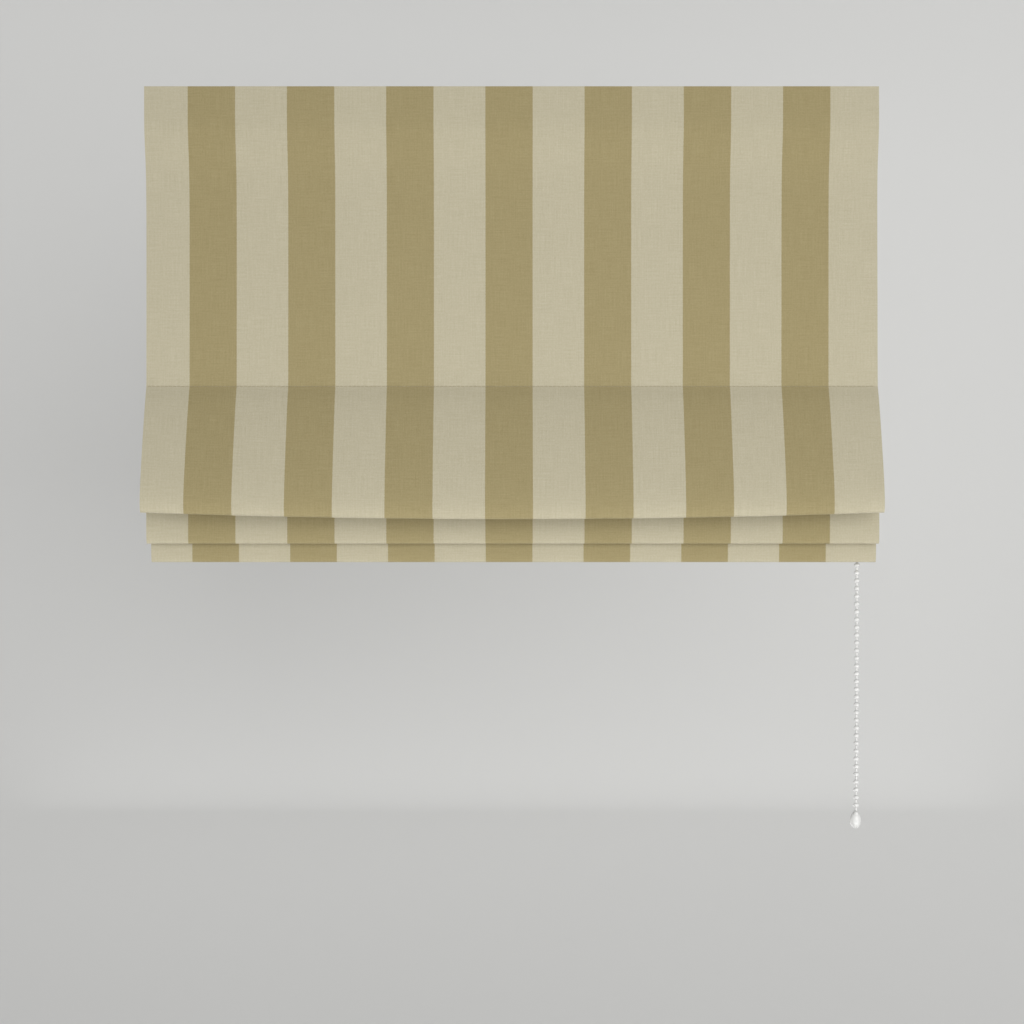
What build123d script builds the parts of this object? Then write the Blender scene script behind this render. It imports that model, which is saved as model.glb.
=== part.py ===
from build123d import *
import os
from math import acos, pi, radians, sqrt, tan

# Roman blind, partly raised. Millimetres. X runs to the right along the headrail, Y runs back towards
# the window, Z runs up. The origin is the middle of the four ceiling screw holes, on the brackets' top.

# ---------------------------------------------------------------- driving dimensions
blind_width = 560.0  # finished width of the cloth
side_inset = 2.0  # the headrail assembly ends this far inside the cloth, on each side

rail_depth = 36.0  # front to back
rail_top = 6.0  # the rail's deck, below the ceiling
rail_height = 26.0
rail_wall = 1.4
lip_width = 4.0  # the inward lips along the rail's open underside
rib_height = 3.6  # the T ribs that the brackets clip under
rib_gap = 18.0  # between the two ribs' inner faces
rib_wall = 1.5
rib_head = 4.0
rib_head_gauge = 1.3

bracket_width = 25.0
bracket_gauge = 1.6
bracket_hook_gauge = 1.1
bracket_play = 0.3  # between a bracket's hook and the rib's head above it
bracket_side_play = 0.5
bracket_spacing = 420.0
screw_row = 10.0  # between the two screws of one bracket
screw_hole_radius = 2.1

shaft_back = 5.0  # the shaft's axis, behind the rail's middle
shaft_drop = 18.5  # the shaft's axis, below the ceiling
shaft_size = 5.0  # square bar
shaft_play = 0.05
shaft_end_play = 2.0  # from the shaft's end to the end cap
journal_wall = 0.9
journal_play = 0.05
bearing_wall = 2.2  # round the journal in the end cap
bush_collar = 2.0
bush_collar_gauge = 1.5
bush_end_play = 1.0
collar_play = 0.3

drive_length = 22.0  # the chain drive's housing and cover, along X
drive_bottom = 36.0
drive_back = 20.0
cover_gauge = 2.0
cover_skin = 0.6  # closes the outer end of the wheel's bearing
cap_gauge = 3.0
spigot_length = 10.0  # how far the housing and the end cap reach into the rail
spigot_play = 0.2
spigot_wall = 2.0

bead_radius = 2.25
bead_pitch = 6.0
bead_play = 0.12
link_radius = 0.6
pockets = 8  # bead pockets round the chain wheel
wheel_width = 7.0
wheel_inset = 11.0  # the wheel's middle, from where the rail meets the drive
wheel_lip = 1.7  # the wheel's rim stands this far out past the middle of the beads
channel_depth = 1.4  # and the channel's floor lies this far in
wheel_stub = 3.2  # how far the shaft's square hole goes past the wheel's face
shaft_stub = 3.0
cover_engagement = 1.1  # the wheel's journal in the cover
cavity_play = 0.9  # round the beads, inside the housing
cavity_inset = 4.5
slot_play = 0.95  # beside the beads, in the housing's slot
guide_drop = 3.4  # from the wheel's lowest bead to the web between the strands
guide_play = 0.8
strand_bend_drop = 480.0  # from here down each strand swings in to the connector
strand_bend_in = 1.6
chain_end = 558.0  # below the ceiling, where both strands enter the connector
strand_play = 0.4  # between the strands at the connector
connector_length = 13.0
connector_lap = 0.3  # the connector is this much narrower than the two strands together

hub_play = 0.45  # between the fixed hub and the shaft's corners
hub_wall = 2.0
hub_flange = 2.0
hub_flange_gauge = 1.0
hub_fit = 0.05
hub_start_inset = 1.0
spring_gauge = 1.0
spring_turns = 7
spring_play = 0.05
spring_room = 0.5

cord_spacing = 200.0
cord_radius = 0.6
drum_radius = 7.0  # to the middle of the lift cord
spool_length = 26.0
spool_flange = 1.4
spool_rim = 9.2
spool_stub = 1.2  # how far a spool's journal passes its cradle
spool_end_play = 0.4
winding_turns = 9
cradle_wall = 2.5
cradle_base = 1.5
cradle_half_depth = 8.0
cradle_corner = 3.0
cord_hole_play = 0.7

tape_gauge = 1.2  # hook tape and loop tape
tape_height = 24.0
tape_top = 6.5
tape_inset = 3.0
cloth_gauge = 0.8
lining_gauge = 0.5
cloth_clearance = 0.3  # between each soft layer and what is next to it

cloth_top = 1.0  # the cloth's top edge, below the ceiling
lining_inset = 3.0  # the lining's side edges, inside the cloth's
lining_top_inset = 2.0
rod_drops = (229.0, 260.0, 271.0)  # the three rods, below the ceiling, as the blind hangs
upper_fold_drop = 327.0  # lowest line of the upper fold
lower_fold_drop = 348.0
hem_drop = 363.5
sag_back = 12.0  # how far the tall panel sags back towards the window
sag_drop = 192.0
knee_kick = 0.2  # below the upper rod the cloth swings forward, fast as far as this knee
knee_drop = 243.0
brow_kick = 11.7  # and then ever less
brow_drop = 282.0
upper_fold_kick = 16.0  # how far the upper fold's lowest line stands in front of the tape
lower_fold_kick = -2.0
upper_fold_depth = 5.5  # front to back, along the fold's lowest line
lower_fold_depth = 4.2
upper_crest_depth = 6.0  # front to back, where the cloth turns over the middle rod
lower_crest_depth = 1.7
crest_rise = 2.0  # above the rod's middle
crest_foot = 1.0  # the cloth stays flat against the middle rod's pocket down to here
ankle_back = 3.7  # the lower fold bends clear of the lowest rod here, behind the tape
ankle_drop = 267.0

rod_radius = 2.0
rod_cap_length = 1.5
rod_end_play = 0.5  # from a rod's cap to the end of its pocket
pocket_wall = 0.3
pocket_room = 3.0  # the pocket is this much taller than it is deep
pocket_inset = 3.0  # the pocket's ends, inside the lining's side edges
ring_radius = 3.0  # to the middle of the ring's wire
ring_wire = 0.8
adjuster_length = 9.0
adjuster_radius = 2.6
knot_depth = 3.0  # how far the cord reaches into its adjuster

hem_bar_height = 24.0
hem_bar_gauge = 3.8
hem_bar_inset = 7.5  # the bar's ends, inside the cloth's side edges
hem_bar_round = 1.5
hem_play = 0.4  # between the hem bar and the cloth round it
hem_turn_height = 30.0  # the part of the hem that is turned up behind the bar
hem_cap_length = 2.0

# ---------------------------------------------------------------- worked-out places
rail_bottom = rail_top + rail_height
rail_half = rail_depth / 2
end_x = blind_width / 2 - side_inset  # both ends of the headrail assembly
drive_x = end_x - drive_length  # where the rail meets the drive
rail_start_x = -end_x + cap_gauge
shaft_bore = shaft_size + 2 * shaft_play
journal_radius = shaft_bore / sqrt(2) + journal_wall
wheel_pitch_radius = bead_pitch * pockets / (2 * pi)
wheel_x = drive_x + wheel_inset
wheel_radius = wheel_pitch_radius + wheel_lip
channel_radius = wheel_pitch_radius - channel_depth
chain_entry_gap = 2 * bead_radius + strand_play
connector_radius = bead_radius + chain_entry_gap / 2 - connector_lap
cord_line = shaft_back - drum_radius  # Y of the lift cords
cord_places = (-cord_spacing, 0.0, cord_spacing)

tape_front = -rail_half - 2 * tape_gauge
cloth_front = tape_front - 2 * cloth_clearance - lining_gauge - cloth_gauge
lining_near = cloth_gauge + cloth_clearance
lining_far = lining_near + lining_gauge
pocket_front = cord_line - ring_radius - ring_wire - 2 * (rod_radius + cloth_clearance + pocket_wall)
pocket_back = cord_line - ring_radius - ring_wire
seam_front = pocket_front - cloth_clearance - lining_far  # the cloth's face at each rod
rod_y = (pocket_front + pocket_back) / 2

hem_front = seam_front
bar_front = hem_front + cloth_gauge + hem_play
bar_back = bar_front + hem_bar_gauge
hem_back = bar_back + hem_play + cloth_gauge

os.makedirs("parts", exist_ok=True)


def write(piece, name):
    """Label a finished piece and write it as its own STEP file."""
    piece.label = name
    export_step(piece, f"parts/{name}.step")


# ---------------------------------------------------------------- headrail
with BuildPart() as headrail:
    with BuildSketch(Plane.YZ.offset(rail_start_x)):
        with Locations((0, -rail_top - rail_height / 2)):
            RectangleRounded(rail_depth, rail_height, 1.2)
        inner_height = rail_height - 2 * rail_wall
        with Locations((0, -rail_top - rail_height / 2)):
            Rectangle(rail_depth - 2 * rail_wall, inner_height, mode=Mode.SUBTRACT)
        with Locations((0, -rail_bottom + rail_wall / 2)):
            Rectangle(rail_depth - 2 * rail_wall - 2 * lip_width, 2 * rail_wall, mode=Mode.SUBTRACT)
        for side in (-1, 1):
            with Locations((side * (rib_gap / 2 + rib_wall / 2), -rail_top + rib_height / 2)):
                Rectangle(rib_wall, rib_height)
            with Locations((side * (rib_gap + rib_head) / 2, -rail_top + rib_height - rib_head_gauge / 2)):
                Rectangle(rib_head, rib_head_gauge)
    extrude(amount=drive_x - rail_start_x)
write(headrail.part, "headrail")

# ---------------------------------------------------------------- ceiling brackets
hook_top = rail_top - rib_height + rib_head_gauge + bracket_play  # under the rib's head
hook_bottom = hook_top + bracket_hook_gauge
hook_reach = rib_gap / 2 + rib_wall + bracket_side_play
bracket_half = rib_gap / 2 + rib_head + bracket_side_play + bracket_gauge
for side, name in ((-1, "mounting_bracket_left"), (1, "mounting_bracket_right")):
    with BuildPart() as bracket:
        with BuildSketch(Plane.YZ.offset(side * bracket_spacing / 2 - bracket_width / 2)):
            with BuildLine():
                Polyline(
                    (-hook_reach, -hook_bottom),
                    (-bracket_half, -hook_bottom),
                    (-bracket_half, 0),
                    (bracket_half, 0),
                    (bracket_half, -hook_bottom),
                    (hook_reach, -hook_bottom),
                    (hook_reach, -hook_top),
                    (bracket_half - bracket_gauge, -hook_top),
                    (bracket_half - bracket_gauge, -bracket_gauge),
                    (-bracket_half + bracket_gauge, -bracket_gauge),
                    (-bracket_half + bracket_gauge, -hook_top),
                    (-hook_reach, -hook_top),
                    close=True,
                )
            make_face()
        extrude(amount=bracket_width)
        with Locations((side * bracket_spacing / 2, 0, 0)):
            with GridLocations(0, screw_row, 1, 2):
                Hole(screw_hole_radius, depth=bracket_gauge)
        upright = bracket.edges().filter_by(Axis.Z).filter_by_position(Axis.Z, -2 * rail_top, 0)
        corners = [e for e in upright if abs(abs(e.center().Y) - bracket_half) < 0.01]
        fillet(corners, 1.0)
    write(bracket.part, name)

# ---------------------------------------------------------------- end cap
spigot_depth = rail_depth - 2 * rail_wall - 2 * spigot_play
spigot_height = rail_height - 2 * rail_wall - 2 * spigot_play
spigot_middle = -rail_top - rail_height / 2
with BuildPart() as end_cap:
    with BuildSketch(Plane.YZ.offset(-end_x)):
        with Locations((0, spigot_middle)):
            RectangleRounded(rail_depth, rail_height, 3.0)
    extrude(amount=cap_gauge)
    with BuildSketch(Plane.YZ.offset(rail_start_x)):
        with Locations((0, spigot_middle)):
            RectangleRounded(spigot_depth, spigot_height, 2.0)
            RectangleRounded(
                spigot_depth - 2 * spigot_wall, spigot_height - 2 * spigot_wall, 1.0, mode=Mode.SUBTRACT
            )
        with Locations((shaft_back, -shaft_drop)):
            Circle(journal_radius + bearing_wall)
    extrude(amount=spigot_length)
    with BuildSketch(Plane.YZ.offset(rail_start_x)):
        with Locations((shaft_back, -shaft_drop)):
            Circle(journal_radius + journal_play)
    extrude(amount=spigot_length, mode=Mode.SUBTRACT)
    outer = end_cap.faces().sort_by(Axis.X)[0]
    fillet(outer.edges(), 1.0)
write(end_cap.part, "end_cap")

# ---------------------------------------------------------------- chain drive: housing and cover
cover_x = end_x - cover_gauge
drive_height = drive_bottom - rail_top
drive_middle_z = -rail_top - drive_height / 2
drive_middle_y = (drive_back - rail_half) / 2
drive_depth = drive_back + rail_half
cavity_radius = wheel_pitch_radius + bead_radius + cavity_play
cavity_x = drive_x + cavity_inset
slot_width = 2 * (bead_radius + slot_play)
hub_bore = shaft_size / sqrt(2) + hub_play
hub_radius = hub_bore + hub_wall
hub_start_x = drive_x - spigot_length + hub_start_inset
spring_pocket = hub_radius + spring_gauge + spring_room
with BuildPart() as drive_housing:
    with BuildSketch(Plane.YZ.offset(drive_x)):
        with Locations((drive_middle_y, drive_middle_z)):
            RectangleRounded(drive_depth, drive_height, 4.0)
    extrude(amount=cover_x - drive_x)
    with BuildSketch(Plane.YZ.offset(drive_x - spigot_length)):
        with Locations((0, spigot_middle)):
            RectangleRounded(spigot_depth, spigot_height, 2.0)
    extrude(amount=spigot_length)
    with BuildSketch(Plane.YZ.offset(drive_x - spigot_length)):
        with Locations((shaft_back, -shaft_drop)):
            Circle(spring_pocket)
    extrude(amount=spigot_length, mode=Mode.SUBTRACT)
    with BuildSketch(Plane.YZ.offset(drive_x)):
        with Locations((shaft_back, -shaft_drop)):
            Circle(hub_radius + hub_fit)
    extrude(amount=cavity_x - drive_x, mode=Mode.SUBTRACT)
    with BuildSketch(Plane.YZ.offset(cavity_x)):
        with Locations((shaft_back, -shaft_drop)):
            Circle(cavity_radius)
    extrude(amount=cover_x - cavity_x, mode=Mode.SUBTRACT)
    with BuildSketch(Plane.XY.offset(-drive_bottom)):
        with Locations((wheel_x, shaft_back)):
            Rectangle(slot_width, 2 * cavity_radius)
    extrude(amount=drive_bottom - shaft_drop, mode=Mode.SUBTRACT)
write(drive_housing.part, "drive_housing")

with BuildPart() as drive_cover:
    with BuildSketch(Plane.YZ.offset(cover_x)):
        with Locations((drive_middle_y, drive_middle_z)):
            RectangleRounded(drive_depth, drive_height, 4.0)
    extrude(amount=cover_gauge)
    with BuildSketch(Plane.YZ.offset(cover_x)):
        with Locations((shaft_back, -shaft_drop)):
            Circle(journal_radius + journal_play)
    extrude(amount=cover_gauge - cover_skin, mode=Mode.SUBTRACT)
    fillet(drive_cover.faces().sort_by(Axis.X)[-1].edges(), 1.2)
write(drive_cover.part, "drive_cover")

# the fixed hub that the wrap spring grips, pushed into the housing's inner wall
with BuildPart() as brake_hub:
    with BuildSketch(Plane.YZ.offset(hub_start_x)):
        with Locations((shaft_back, -shaft_drop)):
            Circle(hub_radius)
            Circle(hub_bore, mode=Mode.SUBTRACT)
    extrude(amount=cavity_x - hub_start_x)
    with BuildSketch(Plane.YZ.offset(cavity_x)):
        with Locations((shaft_back, -shaft_drop)):
            Circle(hub_radius + hub_flange)
            Circle(hub_bore, mode=Mode.SUBTRACT)
    extrude(amount=hub_flange_gauge)
write(brake_hub.part, "brake_hub")


def ribbed_sleeve(start_x, turns, wire_radius, core_radius):
    """Half section of a close winding: one round bulge for each turn, on a thin core."""
    pitch = 2 * wire_radius
    with BuildLine() as outline:
        last = (start_x, core_radius + wire_radius)
        for turn in range(turns):
            left = start_x + turn * pitch
            ThreePointArc(
                last, (left + wire_radius, core_radius + pitch), (left + pitch, core_radius + wire_radius)
            )
            last = (left + pitch, core_radius + wire_radius)
        Polyline(last, (last[0], core_radius), (start_x, core_radius), (start_x, core_radius + wire_radius))
    make_face(outline.edges())


shaft_axis = Axis((0, shaft_back, -shaft_drop), (1, 0, 0))
# local x runs along the shaft and local y runs out from its axis
shaft_section = Plane(origin=(0, shaft_back, -shaft_drop), x_dir=(1, 0, 0), z_dir=(0, -1, 0))

with BuildPart() as brake_spring:
    with BuildSketch(shaft_section):
        ribbed_sleeve(hub_start_x + spring_play, spring_turns, spring_gauge / 2, hub_radius + spring_play)
    revolve(axis=shaft_axis)
write(brake_spring.part, "brake_spring")

# the web between the two strands, where they leave the housing
with BuildPart() as chain_guide:
    guide_top = shaft_drop + wheel_pitch_radius + guide_drop
    guide_depth = 2 * (wheel_pitch_radius - bead_radius - guide_play)
    with BuildSketch(Plane.XY.offset(-drive_bottom)):
        with Locations((wheel_x, shaft_back)):
            Rectangle(slot_width, guide_depth)
    extrude(amount=drive_bottom - guide_top)
    fillet(chain_guide.faces().sort_by(Axis.Z)[0].edges().filter_by(Axis.X), 1.5)
write(chain_guide.part, "chain_guide")

# ---------------------------------------------------------------- shaft, wheel and spools
bush_x = rail_start_x + bush_end_play
shaft_start_x = rail_start_x + shaft_end_play
shaft_end_x = wheel_x + wheel_width / 2 + shaft_stub
with BuildPart() as drive_shaft:
    with BuildSketch(Plane.YZ.offset(shaft_start_x)):
        with Locations((shaft_back, -shaft_drop)):
            Rectangle(shaft_size, shaft_size)
    extrude(amount=shaft_end_x - shaft_start_x)
    chamfer(drive_shaft.edges().filter_by(Axis.X), 0.3)
write(drive_shaft.part, "drive_shaft")

with BuildPart() as shaft_bush:
    with BuildSketch(Plane.YZ.offset(bush_x)):
        with Locations((shaft_back, -shaft_drop)):
            Circle(journal_radius)
            Rectangle(shaft_bore, shaft_bore, mode=Mode.SUBTRACT)
    extrude(amount=spigot_length)
    with BuildSketch(Plane.YZ.offset(rail_start_x + spigot_length + collar_play)):
        with Locations((shaft_back, -shaft_drop)):
            Circle(journal_radius + bush_collar)
            Rectangle(shaft_bore, shaft_bore, mode=Mode.SUBTRACT)
    extrude(amount=bush_collar_gauge)
write(shaft_bush.part, "shaft_bush")

with BuildPart() as chain_wheel:
    with BuildSketch(Plane.YZ.offset(wheel_x - wheel_width / 2)):
        with Locations((shaft_back, -shaft_drop)):
            Circle(wheel_radius)
    extrude(amount=wheel_width)
    journal_start_x = wheel_x + wheel_width / 2
    with BuildSketch(Plane.YZ.offset(journal_start_x)):
        with Locations((shaft_back, -shaft_drop)):
            Circle(journal_radius)
    extrude(amount=cover_x + cover_engagement - journal_start_x)
    wheel_middle = Plane(origin=(wheel_x, shaft_back, -shaft_drop), x_dir=(0, 1, 0), z_dir=(1, 0, 0))
    with Locations(wheel_middle):
        with PolarLocations(wheel_pitch_radius, pockets):
            Sphere(bead_radius + bead_play, mode=Mode.SUBTRACT)
    # the channel that the chain runs in, with the pockets in its floor
    with BuildSketch(shaft_section):
        with Locations((wheel_x, (channel_radius + wheel_radius + 1.0) / 2)):
            Rectangle(2 * (bead_radius + 2 * bead_play), wheel_radius + 1.0 - channel_radius)
    revolve(axis=shaft_axis, mode=Mode.SUBTRACT)
    with BuildSketch(Plane.YZ.offset(wheel_x - wheel_width / 2)):
        with Locations((shaft_back, -shaft_drop)):
            Rectangle(shaft_bore, shaft_bore)
    extrude(amount=wheel_width + wheel_stub, mode=Mode.SUBTRACT)
write(chain_wheel.part, "chain_wheel")

barrel_radius = drum_radius - cord_radius
winding_length = 2 * cord_radius * winding_turns
journal_reach = spool_end_play + cradle_wall + spool_stub  # from a spool's flange to its journal's end
for number, place in enumerate(cord_places, 1):
    start_x = place - spool_length / 2
    with BuildPart() as spool:
        with BuildSketch(shaft_section):
            with BuildLine():
                Polyline(
                    (start_x - journal_reach, 0),
                    (start_x - journal_reach, journal_radius),
                    (start_x, journal_radius),
                    (start_x, spool_rim),
                    (start_x + spool_flange, spool_rim),
                    (start_x + spool_flange, barrel_radius),
                    (start_x + spool_length - spool_flange, barrel_radius),
                    (start_x + spool_length - spool_flange, spool_rim),
                    (start_x + spool_length, spool_rim),
                    (start_x + spool_length, journal_radius),
                    (start_x + spool_length + journal_reach, journal_radius),
                    (start_x + spool_length + journal_reach, 0),
                    close=True,
                )
            make_face()
        revolve(axis=shaft_axis)
        with BuildSketch(Plane.YZ.offset(start_x - journal_reach)):
            with Locations((shaft_back, -shaft_drop)):
                Rectangle(shaft_bore, shaft_bore)
        extrude(amount=spool_length + 2 * journal_reach, mode=Mode.SUBTRACT)
    write(spool.part, f"cord_spool_{number}")

    # the turns of lift cord that are already wound on, ending where the cord runs down
    with BuildPart() as winding:
        with BuildSketch(shaft_section):
            ribbed_sleeve(place + cord_radius - winding_length, winding_turns, cord_radius, barrel_radius)
        revolve(axis=shaft_axis)
    write(winding.part, f"cord_winding_{number}")

    # the cradle stands on the rail's lips and carries the spool's two journals
    with BuildPart() as cradle:
        cradle_half = spool_length / 2 + spool_end_play + cradle_wall
        floor_top = rail_bottom - rail_wall - cradle_base
        with BuildSketch(Plane.XY.offset(-rail_bottom + rail_wall)):
            with Locations((place, 0)):
                Rectangle(2 * cradle_half, spigot_depth)
        extrude(amount=cradle_base)
        with BuildSketch(Plane.XY.offset(-rail_bottom)):
            with Locations((place, 0)):
                tongue = rail_depth - 2 * rail_wall - 2 * lip_width - 2 * spigot_play
                Rectangle(2 * cradle_half, tongue)
        extrude(amount=rail_wall)
        for side in (-1, 1):
            wall_x = place + side * (cradle_half - cradle_wall / 2)
            with BuildSketch(Plane.YZ.offset(wall_x - cradle_wall / 2)):
                with BuildLine():
                    shoulder = cradle_half_depth - cradle_corner
                    Polyline(
                        (shaft_back - cradle_half_depth, -floor_top),
                        (shaft_back + cradle_half_depth, -floor_top),
                        (shaft_back + cradle_half_depth, -shaft_drop + shoulder),
                        (shaft_back + shoulder, -shaft_drop + cradle_half_depth),
                        (shaft_back - shoulder, -shaft_drop + cradle_half_depth),
                        (shaft_back - cradle_half_depth, -shaft_drop + shoulder),
                        close=True,
                    )
                make_face()
                with Locations((shaft_back, -shaft_drop)):
                    Circle(journal_radius + journal_play, mode=Mode.SUBTRACT)
            extrude(amount=cradle_wall)
        with BuildSketch(Plane.XY.offset(-rail_bottom)):
            with Locations((place, cord_line)):
                Circle(cord_radius + cord_hole_play)
        extrude(amount=rail_wall + cradle_base, mode=Mode.SUBTRACT)
    write(cradle.part, f"spool_cradle_{number}")

# ---------------------------------------------------------------- fastening tapes
tape_length = 2 * (end_x - tape_inset)
for layer, name in enumerate(("hook_tape", "loop_tape")):
    with BuildPart() as tape:
        with BuildSketch(Plane.XZ.offset(rail_half + layer * tape_gauge)):
            with Locations((0, -tape_top - tape_height / 2)):
                Rectangle(tape_length, tape_height)
        extrude(amount=tape_gauge)
    write(tape.part, name)


# ---------------------------------------------------------------- cloth
def unit(start, end):
    """Direction from one point of a route to the next."""
    return (Vector(*end) - Vector(*start)).normalized()


def bent_line(route, bends, gap):
    """Draw the route moved sideways by gap, to its left, with a tangent arc at each corner.

    Left is the lining side. A bend is the radius on the route itself, so it shrinks by the gap where the
    route turns to its left and grows by it where the route turns to its right. Returns both ends.
    """
    runs = [unit(*pair) for pair in zip(route, route[1:])]
    sides = [Vector(-run.Y, run.X) for run in runs]
    first = last = Vector(*route[0]) + sides[0] * gap
    for index, (corner, bend) in enumerate(zip(route[1:-1], bends)):
        before, after = runs[index], runs[index + 1]
        mitre = (sides[index] + sides[index + 1]) * (gap / (1 + before.dot(after)))
        to_left = before.X * after.Y - before.Y * after.X > 0
        radius = bend - gap if to_left else bend + gap
        reach = radius * tan(acos(before.dot(after)) / 2)
        middle = Vector(*corner) + mitre
        Line(last, middle - before * reach)
        TangentArc(middle - before * reach, middle + after * reach, tangent=before)
        last = middle + after * reach
    final = Vector(*route[-1]) + sides[-1] * gap
    Line(last, final)
    return first, final


def sheet_section(route, bends, near, far):
    """Closed section of a sheet that follows a route, between two distances to its left."""
    with BuildLine() as outline:
        near_start, near_end = bent_line(route, bends, near)
        far_start, far_end = bent_line(route, bends, far)
        Line(near_start, far_start)
        Line(near_end, far_end)
    make_face(outline.edges())


hang_from = tape_top + tape_height  # the cloth swings free below the tape
flap_turn = hem_drop - hem_turn_height
# the cloth's face, from its top edge down through both folds: (Y, Z) of each turn, and the bend there
face_route = [
    ((cloth_front, -cloth_top), None),
    ((cloth_front, -hang_from), 60.0),
    ((cloth_front + sag_back, -sag_drop), 60.0),
    ((seam_front, -rod_drops[0]), 8.0),
    ((cloth_front - knee_kick, -knee_drop), 20.0),
    ((cloth_front - brow_kick, -brow_drop), 40.0),
    ((cloth_front - upper_fold_kick, -upper_fold_drop), 2.4),
    ((cloth_front - upper_fold_kick + upper_fold_depth, -upper_fold_drop), 2.4),
    ((seam_front - upper_crest_depth, -rod_drops[1] + crest_rise), 1.0),
    ((seam_front, -rod_drops[1] + crest_rise), 1.0),
    ((seam_front, -rod_drops[1] - crest_foot), 1.0),
    ((cloth_front + ankle_back, -ankle_drop), 3.0),
    ((cloth_front - lower_fold_kick, -lower_fold_drop), 2.0),
    ((cloth_front - lower_fold_kick + lower_fold_depth, -lower_fold_drop), 2.0),
    ((seam_front - lower_crest_depth, -rod_drops[2] + crest_rise), 0.8),
    ((seam_front, -rod_drops[2] + crest_rise), 0.8),
]
hem_route = [((hem_front, -hem_drop), 1.2), ((hem_back, -hem_drop), 1.2), ((hem_back, -flap_turn), None)]

with BuildPart() as face_fabric:
    with BuildSketch(Plane.YZ.offset(-blind_width / 2)):
        route = [point for point, bend in face_route + hem_route]
        bends = [bend for point, bend in (face_route + hem_route)[1:-1]]
        sheet_section(route, bends, 0, cloth_gauge)
    extrude(amount=blind_width)
write(face_fabric.part, "face_fabric")

lining_width = blind_width - 2 * lining_inset
with BuildPart() as lining:
    with BuildSketch(Plane.YZ.offset(-lining_width / 2)):
        lining_end = (hem_front, -flap_turn)
        route = [(point[0], point[1]) for point, bend in face_route] + [lining_end]
        route[0] = (cloth_front, -cloth_top - lining_top_inset)
        bends = [bend for point, bend in face_route[1:]]
        sheet_section(route, bends, lining_near, lining_far)
    extrude(amount=lining_width)
write(lining.part, "lining")

# ---------------------------------------------------------------- rods, their pockets and rings
pocket_length = lining_width - 2 * pocket_inset
rod_length = pocket_length - 2 * (rod_cap_length + rod_end_play)
for number, drop in enumerate(rod_drops, 1):
    pocket_depth = pocket_back - pocket_front
    with BuildPart() as pocket:
        with BuildSketch(Plane.YZ.offset(-pocket_length / 2)):
            with Locations((rod_y, -drop)):
                SlotOverall(pocket_depth + pocket_room, pocket_depth, rotation=90)
                hollow = pocket_depth - 2 * pocket_wall
                SlotOverall(hollow + pocket_room, hollow, rotation=90, mode=Mode.SUBTRACT)
        extrude(amount=pocket_length)
    write(pocket.part, f"rod_pocket_{number}")

    with BuildPart() as rod:
        with BuildSketch(Plane.YZ.offset(-rod_length / 2)):
            with Locations((rod_y, -drop)):
                Circle(rod_radius)
        extrude(amount=rod_length)
    write(rod.part, f"rod_{number}")

    with BuildPart() as caps:
        for side in (-1, 1):
            tip_x = side * (rod_length / 2 + rod_cap_length)
            with BuildSketch(Plane.YZ.offset(tip_x)):
                with Locations((rod_y, -drop)):
                    Circle(rod_radius + cloth_clearance)
            extrude(amount=-side * rod_cap_length)
    write(caps.part, f"rod_caps_{number}")

    with BuildPart() as rings:
        with Locations(*[(place, cord_line, -drop) for place in cord_places]):
            Torus(ring_radius, ring_wire)
    write(rings.part, f"cord_rings_{number}")

# cord adjusters, hanging under the lowest rings
adjuster_top = rod_drops[2] + ring_wire
with BuildPart() as adjusters:
    for place in cord_places:
        middle = Plane(origin=(place, cord_line, 0), x_dir=(1, 0, 0), z_dir=(0, -1, 0))
        with BuildSketch(middle):
            with BuildLine():
                Polyline(
                    (0, -adjuster_top - adjuster_length),
                    (adjuster_radius - 0.8, -adjuster_top - adjuster_length),
                    (adjuster_radius, -adjuster_top - adjuster_length + 1.5),
                    (adjuster_radius, -adjuster_top - 2.0),
                    (adjuster_radius - 1.2, -adjuster_top),
                    (cord_radius, -adjuster_top),
                    (cord_radius, -adjuster_top - knot_depth),
                    (0, -adjuster_top - knot_depth),
                    close=True,
                )
            make_face()
        revolve(axis=Axis((place, cord_line, 0), (0, 0, 1)))
write(adjusters.part, "cord_adjusters")

# ---------------------------------------------------------------- lift cords
winding_rim = drum_radius + cord_radius
cord_start = shaft_drop + sqrt((winding_rim + cord_radius + cloth_clearance) ** 2 - drum_radius**2)
cord_stop = adjuster_top + knot_depth
for number, place in enumerate(cord_places, 1):
    with BuildPart() as lift_cord:
        with BuildSketch(Plane.XY.offset(-cord_stop)):
            with Locations((place, cord_line)):
                Circle(cord_radius)
        extrude(amount=cord_stop - cord_start)
    write(lift_cord.part, f"lift_cord_{number}")

# ---------------------------------------------------------------- hem bar
hem_bar_length = blind_width - 2 * hem_bar_inset
bar_middle_y = (bar_front + bar_back) / 2
bar_bottom = hem_drop - cloth_gauge - hem_play
bar_middle_z = -bar_bottom + hem_bar_height / 2
with BuildPart() as hem_bar:
    with BuildSketch(Plane.YZ.offset(-hem_bar_length / 2)):
        with Locations((bar_middle_y, bar_middle_z)):
            RectangleRounded(hem_bar_gauge, hem_bar_height, hem_bar_round)
    extrude(amount=hem_bar_length)
write(hem_bar.part, "hem_bar")

with BuildPart() as hem_bar_caps:
    for side in (-1, 1):
        with BuildSketch(Plane.YZ.offset(side * (hem_bar_length / 2 + hem_cap_length))):
            with Locations((bar_middle_y, bar_middle_z)):
                RectangleRounded(hem_bar_gauge, hem_bar_height, hem_bar_round)
        extrude(amount=-side * hem_cap_length)
write(hem_bar_caps.part, "hem_bar_caps")

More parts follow.
